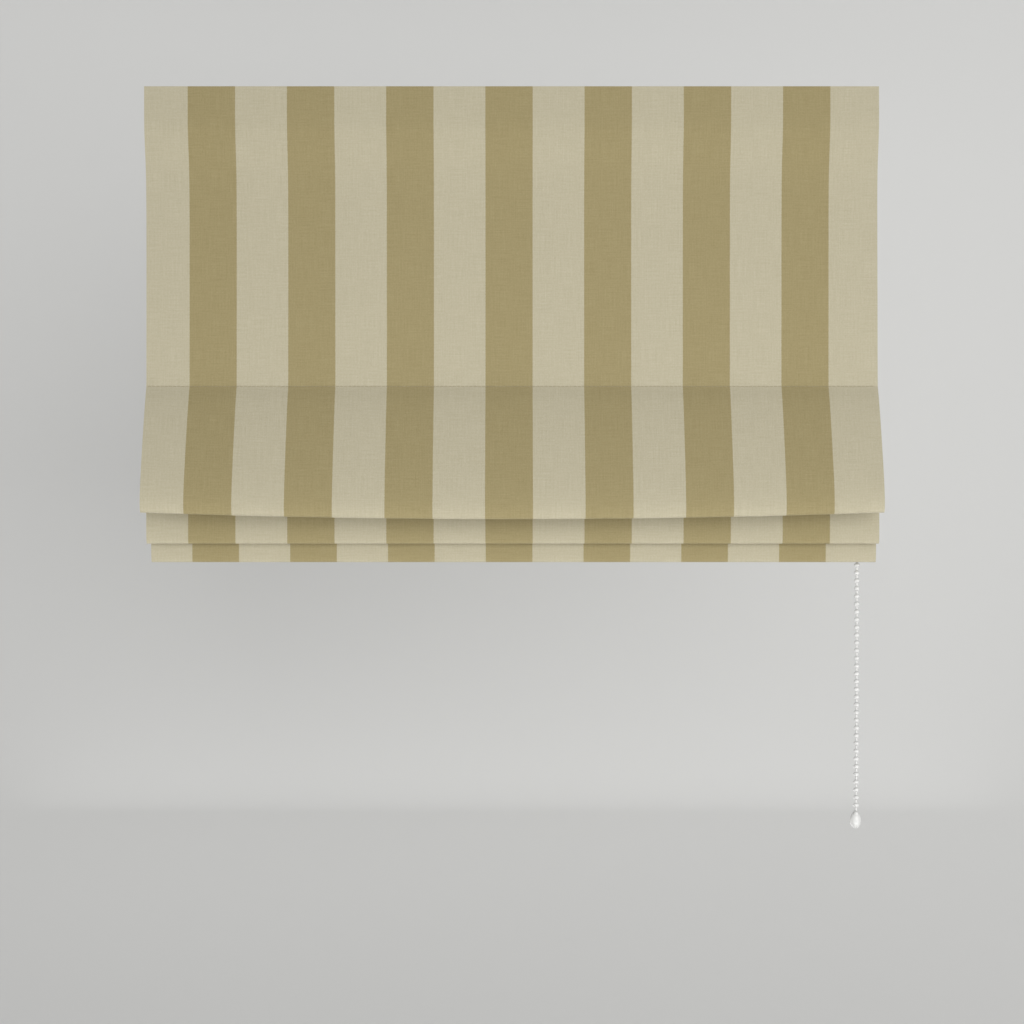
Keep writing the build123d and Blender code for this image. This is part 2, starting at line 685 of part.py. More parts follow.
# ---------------------------------------------------------------- bead chain
strand_top = shaft_drop + bead_pitch - bead_radius
link_section = Plane(origin=(wheel_x, shaft_back, -shaft_drop), x_dir=(1, 0, 0), z_dir=(0, 0, 1))
with BuildPart() as chain_on_wheel:
    with Locations(wheel_middle):
        with PolarLocations(wheel_pitch_radius, pockets // 2 + 1, start_angle=0, angular_range=180, endpoint=True):
            Sphere(bead_radius)
    with BuildSketch(link_section):
        with Locations((0, wheel_pitch_radius)):
            Circle(link_radius)
    revolve(axis=shaft_axis, revolution_arc=180)
write(chain_on_wheel.part, "chain_on_wheel")

for side, name in ((-1, "chain_front"), (1, "chain_back")):
    route = [
        (wheel_x, shaft_back + side * wheel_pitch_radius, -strand_top),
        (wheel_x, shaft_back + side * (wheel_pitch_radius - strand_bend_in), -strand_bend_drop),
        (wheel_x, shaft_back + side * chain_entry_gap / 2, -chain_end),
    ]
    first, second = Vector(*route[1]) - Vector(*route[0]), Vector(*route[2]) - Vector(*route[1])
    bend = 0.45 * second.length / tan(radians(first.get_angle(second)) / 2)
    print(name, "bend radius", round(bend), "mm, length", round(first.length + second.length, 1), "mm")
    with BuildPart() as strand:
        with BuildLine() as path:
            FilletPolyline(*route, radius=bend)
        with BuildSketch(Plane(origin=path.line @ 0, z_dir=path.line % 0)):
            Circle(bead_radius)
        sweep()
    write(strand.part, name)

# the egg-shaped connector that joins the chain's two ends and weighs the loop down
with BuildPart() as chain_connector:
    connector_middle = Plane(origin=(wheel_x, shaft_back, -chain_end), x_dir=(1, 0, 0), z_dir=(0, -1, 0))
    with BuildSketch(connector_middle):
        with BuildLine():
            shoulder = (3.3, -1.2)
            waist = (connector_radius, -connector_length * 0.62)
            foot = (0, -connector_length)
            Line((0, 0), (2.2, 0))
            Spline((2.2, 0), shoulder, waist, foot, tangents=((1, -0.3), (-1, 0)))
            Line(foot, (0, 0))
        make_face()
    revolve(axis=Axis((wheel_x, shaft_back, 0), (0, 0, 1)))
write(chain_connector.part, "chain_connector")
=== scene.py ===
# %% [markdown]
# # A roman blind on a bead chain
# The blind hangs from a slim headrail. Three rods are sewn across its back, and three cords lift them, so
# the cloth gathers into deep soft folds. A loop of white beads on the right turns the shaft in the rail.
# The construction comes ready made as a frame of named parts. This lesson adds the cloth, the thread, the
# cords and the finishes. Everything is in metres, and MM turns the workshop's millimetres into them.

# %% Load the frame
import math

import bpy
import numpy as np
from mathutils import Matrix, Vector


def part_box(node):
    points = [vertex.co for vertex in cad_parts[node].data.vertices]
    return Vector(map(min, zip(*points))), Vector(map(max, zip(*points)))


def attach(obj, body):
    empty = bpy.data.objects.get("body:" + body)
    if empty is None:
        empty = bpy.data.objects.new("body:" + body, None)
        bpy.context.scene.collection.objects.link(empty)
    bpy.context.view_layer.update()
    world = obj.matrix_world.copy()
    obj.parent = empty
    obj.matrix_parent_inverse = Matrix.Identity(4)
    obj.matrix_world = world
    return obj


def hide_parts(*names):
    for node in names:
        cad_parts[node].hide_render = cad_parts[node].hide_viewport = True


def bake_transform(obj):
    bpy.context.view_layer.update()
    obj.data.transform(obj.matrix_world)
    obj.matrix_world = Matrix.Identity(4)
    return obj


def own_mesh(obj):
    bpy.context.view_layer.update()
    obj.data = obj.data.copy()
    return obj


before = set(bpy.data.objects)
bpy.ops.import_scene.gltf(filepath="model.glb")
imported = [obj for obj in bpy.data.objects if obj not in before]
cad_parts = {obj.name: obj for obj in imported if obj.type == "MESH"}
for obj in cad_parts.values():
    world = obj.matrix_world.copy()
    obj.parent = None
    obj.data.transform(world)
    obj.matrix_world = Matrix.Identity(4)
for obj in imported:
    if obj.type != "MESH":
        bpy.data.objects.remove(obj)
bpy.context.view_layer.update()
MM = 0.001
bpy.ops.object.select_all(action="DESELECT")

# %% [markdown]
# ## The camera
# The blind is seen squarely from the front, from the height of its middle folds, through a long lens.
# The lens follows from how large the cloth looks at that distance. The camera is level, so upright lines
# stay upright and no shift is needed.

# %% Camera
cloth_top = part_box("face_fabric")[1].z
TAPE_FACE = -22.3 * MM  # the cloth's face where it is taped to the rail
VIEW_DISTANCE = 1.5666  # from the taped cloth
VIEW_DROP = 0.3246  # below the cloth's top edge
LENS = 72.24

camera_data = bpy.data.cameras.new("camera")
camera_data.lens = LENS
camera_data.sensor_width = 36.0
camera = bpy.data.objects.new("camera", camera_data)
bpy.context.scene.collection.objects.link(camera)
camera.location = (0.0005, TAPE_FACE - VIEW_DISTANCE, cloth_top - VIEW_DROP)
camera.rotation_euler = (math.radians(90), 0, 0)
bpy.context.scene.camera = camera
print("camera at", [round(v, 4) for v in camera.location])

# %% [markdown]
# ## The stage
# A pale wall and floor stand behind and below the blind. They are one sheet with a wide round bend, so no
# line shows where wall meets floor. The wall is grey enough to let white beads stand out. The sheet shows
# its front only, so a view from behind or from below looks through it.


# %% Backdrop
def plain_material(name, color, roughness):
    """A material with one colour, for what isn't part of the blind."""
    material = bpy.data.materials.new(name)
    material.use_nodes = True
    shader = material.node_tree.nodes["Principled BSDF"]
    shader.inputs["Base Color"].default_value = (*color, 1)
    shader.inputs["Roughness"].default_value = roughness
    return material


WALL_BACK = 0.55  # behind the blind
WALL_TOP = 1.2
FLOOR_DROP = -0.95
FLOOR_FRONT = -2.6
BEND = 0.35  # radius between wall and floor
STAGE_HALF = 2.2

bpy.ops.mesh.primitive_plane_add(size=1, location=(0, 0, 0))
backdrop = bpy.context.object
backdrop.name = "backdrop"
profile = [(FLOOR_FRONT, FLOOR_DROP), (WALL_BACK - BEND, FLOOR_DROP)]
for step in range(1, 12):
    angle = math.radians(90 * step / 12)
    profile.append((WALL_BACK - BEND + BEND * math.sin(angle), FLOOR_DROP + BEND * (1 - math.cos(angle))))
profile += [(WALL_BACK, FLOOR_DROP + BEND), (WALL_BACK, WALL_TOP)]
corners = [(side * STAGE_HALF, y, z) for y, z in profile for side in (-1, 1)]
strips = [(2 * i, 2 * i + 1, 2 * i + 3, 2 * i + 2) for i in range(len(profile) - 1)]
backdrop.data.clear_geometry()
backdrop.data.from_pydata(corners, [], strips)
backdrop.data.shade_smooth()
stage_material = plain_material("pale_stage", (0.64, 0.64, 0.63), 0.9)
stage_nodes, stage_links = stage_material.node_tree.nodes, stage_material.node_tree.links
facing = stage_nodes.new("ShaderNodeNewGeometry")
clear = stage_nodes.new("ShaderNodeBsdfTransparent")
one_sided = stage_nodes.new("ShaderNodeMixShader")
stage_links.new(facing.outputs["Backfacing"], one_sided.inputs["Fac"])
stage_links.new(stage_nodes["Principled BSDF"].outputs["BSDF"], one_sided.inputs[1])
stage_links.new(clear.outputs["BSDF"], one_sided.inputs[2])
stage_links.new(one_sided.outputs["Shader"], stage_nodes["Material Output"].inputs["Surface"])
backdrop.data.materials.append(stage_material)

# %% [markdown]
# ## Light
# A room lights a blind from the front, so a very broad soft panel stands behind the camera, a little to
# the right. It leaves only a thin line of shade under each fold. A lower panel, as from a pale window
# sill, brightens the rolled lower edges of the folds, and one from behind outlines beads and edges. The
# colours pass to the picture unchanged, because cloth is chosen by its exact shade.


# %% Lights
def soft_panel(name, place, aim, size, power):
    """A rectangular area light at a place, turned to face a point."""
    data = bpy.data.lights.new(name, "AREA")
    data.shape = "RECTANGLE"
    data.size, data.size_y = size
    data.energy = power
    light = bpy.data.objects.new(name, data)
    light.location = place
    light.visible_camera = False
    light.rotation_euler = (Vector(aim) - Vector(place)).to_track_quat("-Z", "Y").to_euler()
    bpy.context.scene.collection.objects.link(light)
    return light


BLIND_MIDDLE = (0, 0, -0.28)
soft_panel("room_panel", (0.9, -2.5, 0.15), BLIND_MIDDLE, (2.6, 1.8), 35)
sill_panel = soft_panel("sill_panel", (0.0, -0.4, -0.93), (0, -0.03, -0.34), (1.6, 0.5), 4.0)
sill_panel.data.spread = math.radians(110)  # it leaves the floor alone
soft_panel("window_panel", (0.0, 0.45, -0.75), (0, 0, -0.36), (1.0, 0.25), 1.2)
world = bpy.data.worlds.new("studio")
bpy.context.scene.world = world
world.use_nodes = True
world.node_tree.nodes["Background"].inputs["Color"].default_value = (1, 1, 1, 1)
world.node_tree.nodes["Background"].inputs["Strength"].default_value = 0.57
bpy.context.scene.view_settings.view_transform = "Standard"

# %% [markdown]
# ## Effects that several finishes share
# Woven cloth, moulded plastic and drawn metal each get their character from a few small effects. Each is
# a node group, built once. `weave` makes threads that cross, with slubs: the thicker stretches that linen
# yarn has. `mottle` is slow uneven tone. `grain` is fine lines along one axis, as on drawn metal.


# %% Node helpers
def new_group(name, inputs, outputs):
    """An empty shader node group with named float or vector inputs and float outputs."""
    group = bpy.data.node_groups.new(name, "ShaderNodeTree")
    for label, kind, value in inputs:
        socket = group.interface.new_socket(label, in_out="INPUT", socket_type=kind)
        socket.default_value = value
    for label in outputs:
        group.interface.new_socket(label, in_out="OUTPUT", socket_type="NodeSocketFloat")
    group.nodes.new("NodeGroupInput").name = "in"
    group.nodes.new("NodeGroupOutput").name = "out"
    return group


def add(tree, kind, **settings):
    """A new node with its settings made."""
    node = tree.nodes.new(kind)
    for key, value in settings.items():
        setattr(node, key, value)
    return node


def math_node(tree, operation, first, second=None):
    """A Math node. Each term is a socket or a number."""
    node = add(tree, "ShaderNodeMath", operation=operation)
    for index, term in enumerate((first, second)):
        if isinstance(term, (int, float)):
            node.inputs[index].default_value = term
        elif term is not None:
            tree.links.new(term, node.inputs[index])
    return node.outputs[0]


def stretched_noise(tree, scales, detail, vector=None):
    """Noise on the object's own coordinates, squeezed by a scale for each axis, in turns per metre."""
    if vector is None:
        vector = add(tree, "ShaderNodeTexCoord").outputs["Object"]
    mapping = add(tree, "ShaderNodeMapping")
    mapping.inputs["Scale"].default_value = scales
    noise = add(tree, "ShaderNodeTexNoise")
    noise.inputs["Scale"].default_value = 1.0
    noise.inputs["Detail"].default_value = detail
    tree.links.new(vector, mapping.inputs["Vector"])
    tree.links.new(mapping.outputs[0], noise.inputs["Vector"])
    return noise.outputs["Fac"]


# %% Weave, mottle and grain groups
def build_weave():
    """Threads along X and Z of Place, Spacing metres apart. Tone is slubs and heather, Height the weave."""
    inputs = [("Place", "NodeSocketVector", (0, 0, 0)), ("Spacing", "NodeSocketFloat", 0.0005)]
    group = new_group("weave", inputs, ["Tone", "Height"])
    place = group.nodes["in"].outputs["Place"]
    split = add(group, "ShaderNodeSeparateXYZ")
    group.links.new(place, split.inputs[0])
    spacing = group.nodes["in"].outputs["Spacing"]
    crests = []
    for axis in ("X", "Z"):
        turns = math_node(group, "DIVIDE", split.outputs[axis], spacing)
        wave = math_node(group, "SINE", math_node(group, "MULTIPLY", turns, math.pi))
        crests.append(math_node(group, "ABSOLUTE", wave))
    height = math_node(group, "MAXIMUM", crests[0], crests[1])
    weft = stretched_noise(group, (60, 60, 1500), 2.0, place)
    warp = stretched_noise(group, (1500, 60, 45), 2.0, place)
    speck = stretched_noise(group, (700, 700, 700), 2.0, place)
    threads = math_node(group, "ADD", weft, warp)
    tone = math_node(group, "MULTIPLY", math_node(group, "ADD", threads, speck), 1 / 3)
    group.links.new(tone, group.nodes["out"].inputs["Tone"])
    lifted = math_node(group, "ADD", math_node(group, "MULTIPLY", height, 0.35), tone)
    group.links.new(lifted, group.nodes["out"].inputs["Height"])
    return group


def build_mottle():
    """Slow uneven tone, from 0 to 1. Scale is in turns per metre."""
    group = new_group("mottle", [("Scale", "NodeSocketFloat", 30.0)], ["Tone"])
    place = add(group, "ShaderNodeTexCoord").outputs["Object"]
    noise = add(group, "ShaderNodeTexNoise")
    noise.inputs["Detail"].default_value = 4.0
    group.links.new(place, noise.inputs["Vector"])
    group.links.new(group.nodes["in"].outputs["Scale"], noise.inputs["Scale"])
    group.links.new(noise.outputs["Fac"], group.nodes["out"].inputs["Tone"])
    return group


def build_grain():
    """Fine lines along X, from 0 to 1."""
    group = new_group("grain", [], ["Tone"])
    lines = stretched_noise(group, (8, 2600, 2600), 4.0)
    group.links.new(lines, group.nodes["out"].inputs["Tone"])
    return group


weave, mottle, grain = build_weave(), build_mottle(), build_grain()
print("groups:", weave.name, mottle.name, grain.name)


# %% Material helpers
def new_material(name, roughness, metallic=0.0, **uniform):
    """A Principled material. Values that are the same all over are set on the shader's own sockets."""
    material = bpy.data.materials.new(name)
    material.use_nodes = True
    shader = material.node_tree.nodes["Principled BSDF"]
    shader.inputs["Roughness"].default_value = roughness
    shader.inputs["Metallic"].default_value = metallic
    for socket, value in uniform.items():
        shader.inputs[socket.replace("_", " ")].default_value = value
    return material, material.node_tree, shader


def use_group(tree, group, **values):
    """A group node in a material, with its values."""
    node = add(tree, "ShaderNodeGroup", node_tree=group)
    for socket, value in values.items():
        node.inputs[socket].default_value = value
    return node


def tint(tree, tone, dark, light):
    """A colour between two, picked by a tone from 0 to 1."""
    ramp = add(tree, "ShaderNodeValToRGB")
    ramp.color_ramp.elements[0].position = 0.3
    ramp.color_ramp.elements[0].color = (*dark, 1)
    ramp.color_ramp.elements[1].position = 0.7
    ramp.color_ramp.elements[1].color = (*light, 1)
    tree.links.new(tone, ramp.inputs["Fac"])
    return ramp.outputs["Color"]


def bump(tree, shader, height, distance):
    """Raise the surface by a height, in metres, where the height is 1."""
    node = add(tree, "ShaderNodeBump")
    node.inputs["Distance"].default_value = distance
    tree.links.new(height, node.inputs["Height"])
    tree.links.new(node.outputs["Normal"], shader.inputs["Normal"])


def vary_roughness(tree, shader, tone, low, high):
    """Roughness that follows a tone."""
    spread = add(tree, "ShaderNodeMapRange")
    spread.inputs["To Min"].default_value = low
    spread.inputs["To Max"].default_value = high
    tree.links.new(tone, spread.inputs["Value"])
    tree.links.new(spread.outputs["Result"], shader.inputs["Roughness"])


# %% [markdown]
# ## The striped cloth
# Seven olive stripes stand on beige. They run down the cloth, so a stripe depends only on how far a point
# lies from the middle of the flat cloth. That is read from the cloth's own UV map, which holds its flat
# width and length in metres, so stripes and threads follow the folds. The edge of a stripe is a warp
# thread, so it is crisp but wanders by a hair. Each colour is two yarns mixed by the slubs.

# %% Cloth materials
STRIPE_START = -246.8 * MM  # left edge of the first dark stripe
STRIPE_PITCH = 75.65 * MM
STRIPE_SHARE = 36.15 / 75.65  # dark part of each pitch
EDGE_WANDER = 0.5 * MM
EDGE_BLUR = 0.003  # each way, as a share of the pitch
BEIGE = ((0.385, 0.345, 0.235), (0.485, 0.445, 0.325))
OLIVE = ((0.255, 0.205, 0.09), (0.335, 0.28, 0.14))


def flat_place(tree):
    """Where a point lay on the flat cloth: width in X and length in Z, from the UV map."""
    split = add(tree, "ShaderNodeSeparateXYZ")
    tree.links.new(add(tree, "ShaderNodeUVMap", uv_map="flat_cloth").outputs["UV"], split.inputs[0])
    joined = add(tree, "ShaderNodeCombineXYZ")
    tree.links.new(split.outputs["X"], joined.inputs["X"])
    tree.links.new(split.outputs["Y"], joined.inputs["Z"])
    return joined.outputs[0]


def stripe_mask(tree, place):
    """1 on the dark stripes and 0 between them."""
    split = add(tree, "ShaderNodeSeparateXYZ")
    tree.links.new(place, split.inputs[0])
    wander = stretched_noise(tree, (300, 300, 900), 2.0, place)
    sideways = math_node(tree, "MULTIPLY", math_node(tree, "SUBTRACT", wander, 0.5), EDGE_WANDER)
    across = math_node(tree, "ADD", split.outputs["X"], sideways)
    turns = math_node(tree, "DIVIDE", math_node(tree, "SUBTRACT", across, STRIPE_START), STRIPE_PITCH)
    phase = math_node(tree, "FRACT", math_node(tree, "ADD", turns, 10.0))
    middle = math_node(tree, "ABSOLUTE", math_node(tree, "SUBTRACT", phase, STRIPE_SHARE / 2))
    edge = add(tree, "ShaderNodeMapRange")
    edge.interpolation_type = "SMOOTHSTEP"
    edge.inputs["From Min"].default_value = STRIPE_SHARE / 2 - EDGE_BLUR
    edge.inputs["From Max"].default_value = STRIPE_SHARE / 2 + EDGE_BLUR
    edge.inputs["To Min"].default_value = 1.0
    edge.inputs["To Max"].default_value = 0.0
    tree.links.new(middle, edge.inputs["Value"])
    return edge.outputs["Result"]


def make_striped_cloth():
    """The face cloth."""
    material, tree, shader = new_material("striped_cloth", 0.85, Sheen_Weight=0.15, Sheen_Roughness=0.5)
    place = flat_place(tree)
    threads = use_group(tree, weave, Spacing=0.55 * MM)
    tree.links.new(place, threads.inputs["Place"])
    beige = tint(tree, threads.outputs["Tone"], *BEIGE)
    olive = tint(tree, threads.outputs["Tone"], *OLIVE)
    mix = add(tree, "ShaderNodeMix", data_type="RGBA")
    tree.links.new(stripe_mask(tree, place), mix.inputs["Factor"])
    tree.links.new(beige, mix.inputs["A"])
    tree.links.new(olive, mix.inputs["B"])
    tree.links.new(mix.outputs["Result"], shader.inputs["Base Color"])
    bump(tree, shader, threads.outputs["Height"], 0.25 * MM)
    return material


def make_woven(name, dark, light, spacing, depth, sheen=0.1, flat=False):
    """A plain woven cloth, cord or thread. A flat one reads its UV map, the others where they are."""
    material, tree, shader = new_material(name, 0.8, Sheen_Weight=sheen, Sheen_Roughness=0.4)
    threads = use_group(tree, weave, Spacing=spacing)
    place = flat_place(tree) if flat else add(tree, "ShaderNodeTexCoord").outputs["Object"]
    tree.links.new(place, threads.inputs["Place"])
    tree.links.new(tint(tree, threads.outputs["Tone"], dark, light), shader.inputs["Base Color"])
    bump(tree, shader, threads.outputs["Height"], depth)
    return material


striped_cloth = make_striped_cloth()
LINING_TONES = ((0.66, 0.63, 0.56), (0.78, 0.76, 0.69))
lining_cloth = make_woven("lining_cloth", *LINING_TONES, 0.35 * MM, 0.1 * MM, 0.2, flat=True)
pocket_cloth = make_woven("pocket_cloth", *LINING_TONES, 0.35 * MM, 0.1 * MM, 0.2)
thread = make_woven("sewing_thread", (0.26, 0.22, 0.13), (0.36, 0.31, 0.2), 0.2 * MM, 0.05 * MM)
white_thread = make_woven("white_thread", (0.7, 0.68, 0.62), (0.82, 0.8, 0.74), 0.2 * MM, 0.05 * MM)
cord_braid = make_woven("cord_braid", (0.6, 0.59, 0.56), (0.8, 0.79, 0.76), 0.4 * MM, 0.08 * MM)


# %% [markdown]
# ## Plastics and metals
# Moulded parts are white with a faint orange-peel skin. The rail is powder coated, which is a coarser
# peel. The hem bar is bare extruded aluminium and the shaft is drawn steel, so both show lengthwise
# lines. The hook tape is a field of tiny hooks and the loop tape is a brushed fuzz.


# %% Hard materials
def make_moulded(name, dark, light, roughness, peel, **uniform):
    """A moulded or coated finish: slow tone, uneven gloss and a fine skin."""
    material, tree, shader = new_material(name, roughness, **uniform)
    tone = use_group(tree, mottle, Scale=45.0).outputs["Tone"]
    skin = use_group(tree, mottle, Scale=1400.0).outputs["Tone"]
    tree.links.new(tint(tree, tone, dark, light), shader.inputs["Base Color"])
    vary_roughness(tree, shader, tone, roughness - 0.07, roughness + 0.07)
    bump(tree, shader, skin, peel)
    return material


def make_drawn(name, dark, light, roughness):
    """Drawn or extruded metal, with fine lines along its length."""
    material, tree, shader = new_material(name, roughness, 1.0)
    lines = use_group(tree, grain).outputs["Tone"]
    tree.links.new(tint(tree, lines, dark, light), shader.inputs["Base Color"])
    vary_roughness(tree, shader, lines, roughness - 0.1, roughness + 0.1)
    bump(tree, shader, lines, 0.02 * MM)
    return material


def make_plated():
    """Zinc plate: slow cloudy tone on bright metal."""
    material, tree, shader = new_material("zinc_plate", 0.35, 1.0)
    cloud = use_group(tree, mottle, Scale=160.0).outputs["Tone"]
    tree.links.new(tint(tree, cloud, (0.5, 0.51, 0.53), (0.68, 0.68, 0.66)), shader.inputs["Base Color"])
    vary_roughness(tree, shader, cloud, 0.25, 0.45)
    return material


def make_tape(name, cells, depth):
    """Hook or loop tape: a field of small bumps on white nylon, with painted shade in the hollows between
    them.
    """
    material, tree, shader = new_material(name, 0.7, Sheen_Weight=0.3)
    place = add(tree, "ShaderNodeTexCoord").outputs["Object"]
    field = add(tree, "ShaderNodeTexVoronoi")
    field.inputs["Scale"].default_value = cells
    tree.links.new(place, field.inputs["Vector"])
    dots = field.outputs["Distance"]
    # The colour is darker where the bumps are low: painted shade in the hollows between the hooks or loops.
    tree.links.new(tint(tree, dots, (0.78, 0.77, 0.74), (0.6, 0.59, 0.56)), shader.inputs["Base Color"])
    bump(tree, shader, math_node(tree, "SUBTRACT", 1.0, dots), depth)
    return material


white_plastic = make_moulded("white_plastic", (0.74, 0.74, 0.72), (0.82, 0.82, 0.8), 0.38, 0.02 * MM)
powder_coat = make_moulded("powder_coat", (0.74, 0.74, 0.72), (0.8, 0.8, 0.78), 0.42, 0.05 * MM)
grey_acetal = make_moulded("grey_acetal", (0.4, 0.41, 0.42), (0.48, 0.49, 0.5), 0.4, 0.02 * MM)
bead_white = make_moulded(
    "bead_white", (0.64, 0.64, 0.625), (0.7, 0.7, 0.685), 0.25, 0.01 * MM, Coat_Weight=0.3
)
rod_white = make_moulded("rod_white", (0.68, 0.66, 0.58), (0.78, 0.76, 0.7), 0.45, 0.03 * MM)
clear_cap = make_moulded(
    "clear_cap", (0.66, 0.67, 0.66), (0.76, 0.77, 0.76), 0.25, 0.02 * MM, Coat_Weight=0.4
)
bare_aluminium = make_drawn("bare_aluminium", (0.62, 0.62, 0.63), (0.78, 0.78, 0.78), 0.35)
drawn_steel = make_drawn("drawn_steel", (0.4, 0.4, 0.41), (0.58, 0.58, 0.58), 0.35)
zinc_plate = make_plated()
hook_tape_nylon = make_tape("hook_tape_nylon", 900, 0.4 * MM)
loop_tape_nylon = make_tape("loop_tape_nylon", 1500, 0.5 * MM)


# %% [markdown]
# ## Finishes on the ready-made parts
# A hard part keeps its shape and only gets its material. The names say what each is made of.

# %% Give each hard part its finish
NUMBERS = (1, 2, 3)
finishes = {
    powder_coat: ["headrail"],
    zinc_plate: ["mounting_bracket_left", "mounting_bracket_right"],
    white_plastic: ["end_cap", "drive_housing", "drive_cover", "chain_guide"]
    + [f"spool_cradle_{n}" for n in NUMBERS],
    drawn_steel: ["brake_hub", "brake_spring", "drive_shaft"],
    grey_acetal: ["chain_wheel", "shaft_bush"] + [f"cord_spool_{n}" for n in NUMBERS],
    cord_braid: [f"cord_winding_{n}" for n in NUMBERS],
    bead_white: ["chain_on_wheel"],
    rod_white: [f"rod_{n}" for n in NUMBERS],
    clear_cap: [f"rod_caps_{n}" for n in NUMBERS]
    + [f"cord_rings_{n}" for n in NUMBERS]
    + ["cord_adjusters", "hem_bar_caps"],
    bare_aluminium: ["hem_bar"],
    hook_tape_nylon: ["hook_tape"],
    loop_tape_nylon: ["loop_tape"],
}
for material, names in finishes.items():
    for name in names:
        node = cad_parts[name]
        node.data.materials.clear()
        node.data.materials.append(material)
print("finished", sum(len(names) for names in finishes.values()), "hard parts")


# %% [markdown]
# ## The bead chain
# The chain hangs as two strands side by side, one behind the other, from the wheel down to the connector.
# A route with a few points is laid as a smooth NURBS line, and one bead with its link is copied along it.
# A bead starts as a sphere that is pressed a little flat, and a short tube below it is the link to the
# next one.


# %% Read a route and copy a shape along it
def read_route(name, points):
    """Points along the smooth line through a route, read from a curve with no thickness."""
    curve = bpy.data.curves.new(name, "CURVE")
    curve.dimensions = "3D"
    curve.resolution_u = 64
    spline = curve.splines.new("NURBS")
    spline.points.add(len(points) - 1)
    for point, place in zip(spline.points, points):
        point.co = (*place, 1)
    spline.order_u = 3
    spline.use_endpoint_u = True
    holder = bpy.data.objects.new(name, curve)
    mesh = bpy.data.meshes.new_from_object(holder)
    line = np.array([vertex.co for vertex in mesh.vertices])
    bpy.data.meshes.remove(mesh)
    bpy.data.objects.remove(holder)
    bpy.data.curves.remove(curve)
    return line


def along(line, distance):
    """The place at a distance along a line of points."""
    steps = np.linalg.norm(np.diff(line, axis=0), axis=1)
    reached = np.concatenate([[0], np.cumsum(steps)])
    return np.array([np.interp(distance, reached, line[:, axis]) for axis in range(3)])


def repeat_mesh(name, pattern, places):
    """One mesh that holds a copy of a pattern mesh at each place."""
    corners = np.array([vertex.co for vertex in pattern.vertices])
    faces = [list(face.vertices) for face in pattern.polygons]
    all_corners, all_faces = [], []
    for index, place in enumerate(places):
        all_corners.extend((corners + place).tolist())
        all_faces.extend([[corner + index * len(corners) for corner in face] for face in faces])
    mesh = bpy.data.meshes.new(name)
    mesh.from_pydata(all_corners, [], all_faces)
    mesh.update()
    return mesh


def new_object(name, mesh, material):
    """An object for a finished mesh."""
    mesh.materials.clear()
    mesh.materials.append(material)
    piece = bpy.data.objects.new(name, mesh)
    bpy.context.scene.collection.objects.link(piece)
    return piece


# %% One bead
BEAD_RADIUS = 2.25 * MM
BEAD_PITCH = 6.0 * MM
BEAD_FLAT = 0.8  # height over width
LINK_RADIUS = 0.95 * MM
LINK_LENGTH = 2.4 * MM

bpy.ops.mesh.primitive_uv_sphere_add(segments=12, ring_count=7, radius=BEAD_RADIUS, location=(0, 0, 0))
bead = bpy.context.object
bpy.ops.object.mode_set(mode="EDIT")
bpy.ops.mesh.select_all(action="SELECT")
bpy.ops.transform.resize(value=(1, 1, BEAD_FLAT))
bpy.ops.object.mode_set(mode="OBJECT")
bpy.ops.mesh.primitive_cylinder_add(
    vertices=8,
    radius=LINK_RADIUS,
    depth=LINK_LENGTH,
    end_fill_type="NOTHING",
    location=(0, 0, -BEAD_PITCH / 2),
)
link = bpy.context.object
link.data.transform(link.matrix_world)
link.matrix_world.identity()
link.select_set(True)
bead.select_set(True)
bpy.context.view_layer.objects.active = bead
bpy.ops.object.join()
bpy.ops.object.shade_smooth()
bead_mesh = bead.data
bpy.data.objects.remove(bead)
print("bead has", len(bead_mesh.polygons), "faces")

# %% [markdown]
# ## The connector
# The chain's two ends clip into an egg of white plastic, which also weighs the loop down. It is moulded
# in two halves. It starts as a sphere that is drawn out tall and narrowed a little towards its top, and
# a thin groove is pressed in along the joint of the halves. Two short collars hold the strands' ends.

# %% Mould the connector
WHEEL_X = 267 * MM
SHAFT_BACK = 5.0 * MM
ENTRY_HALF = 2.45 * MM  # half the gap between the two strands where they enter
STRAND_END = -558 * MM
EGG_HEIGHT = 12.8 * MM
EGG_RADIUS = 4.25 * MM
EGG_TAPER = 0.05  # narrower at the top, as a share of the radius
EGG_SQUARENESS = 0.92  # below 1 fills out the egg's ends
GROOVE_SHARE = 0.94  # radius in the groove, as a share of the radius beside it
COLLAR_HEIGHT = 0.43  # of a collar's middle above the egg's, as a share of the egg's height
COLLAR_LENGTH = 2.4 * MM
COLLAR_FOOT, COLLAR_MOUTH = 2.1 * MM, 1.3 * MM  # radii
COLLAR_ROUNDING = 0.3 * MM

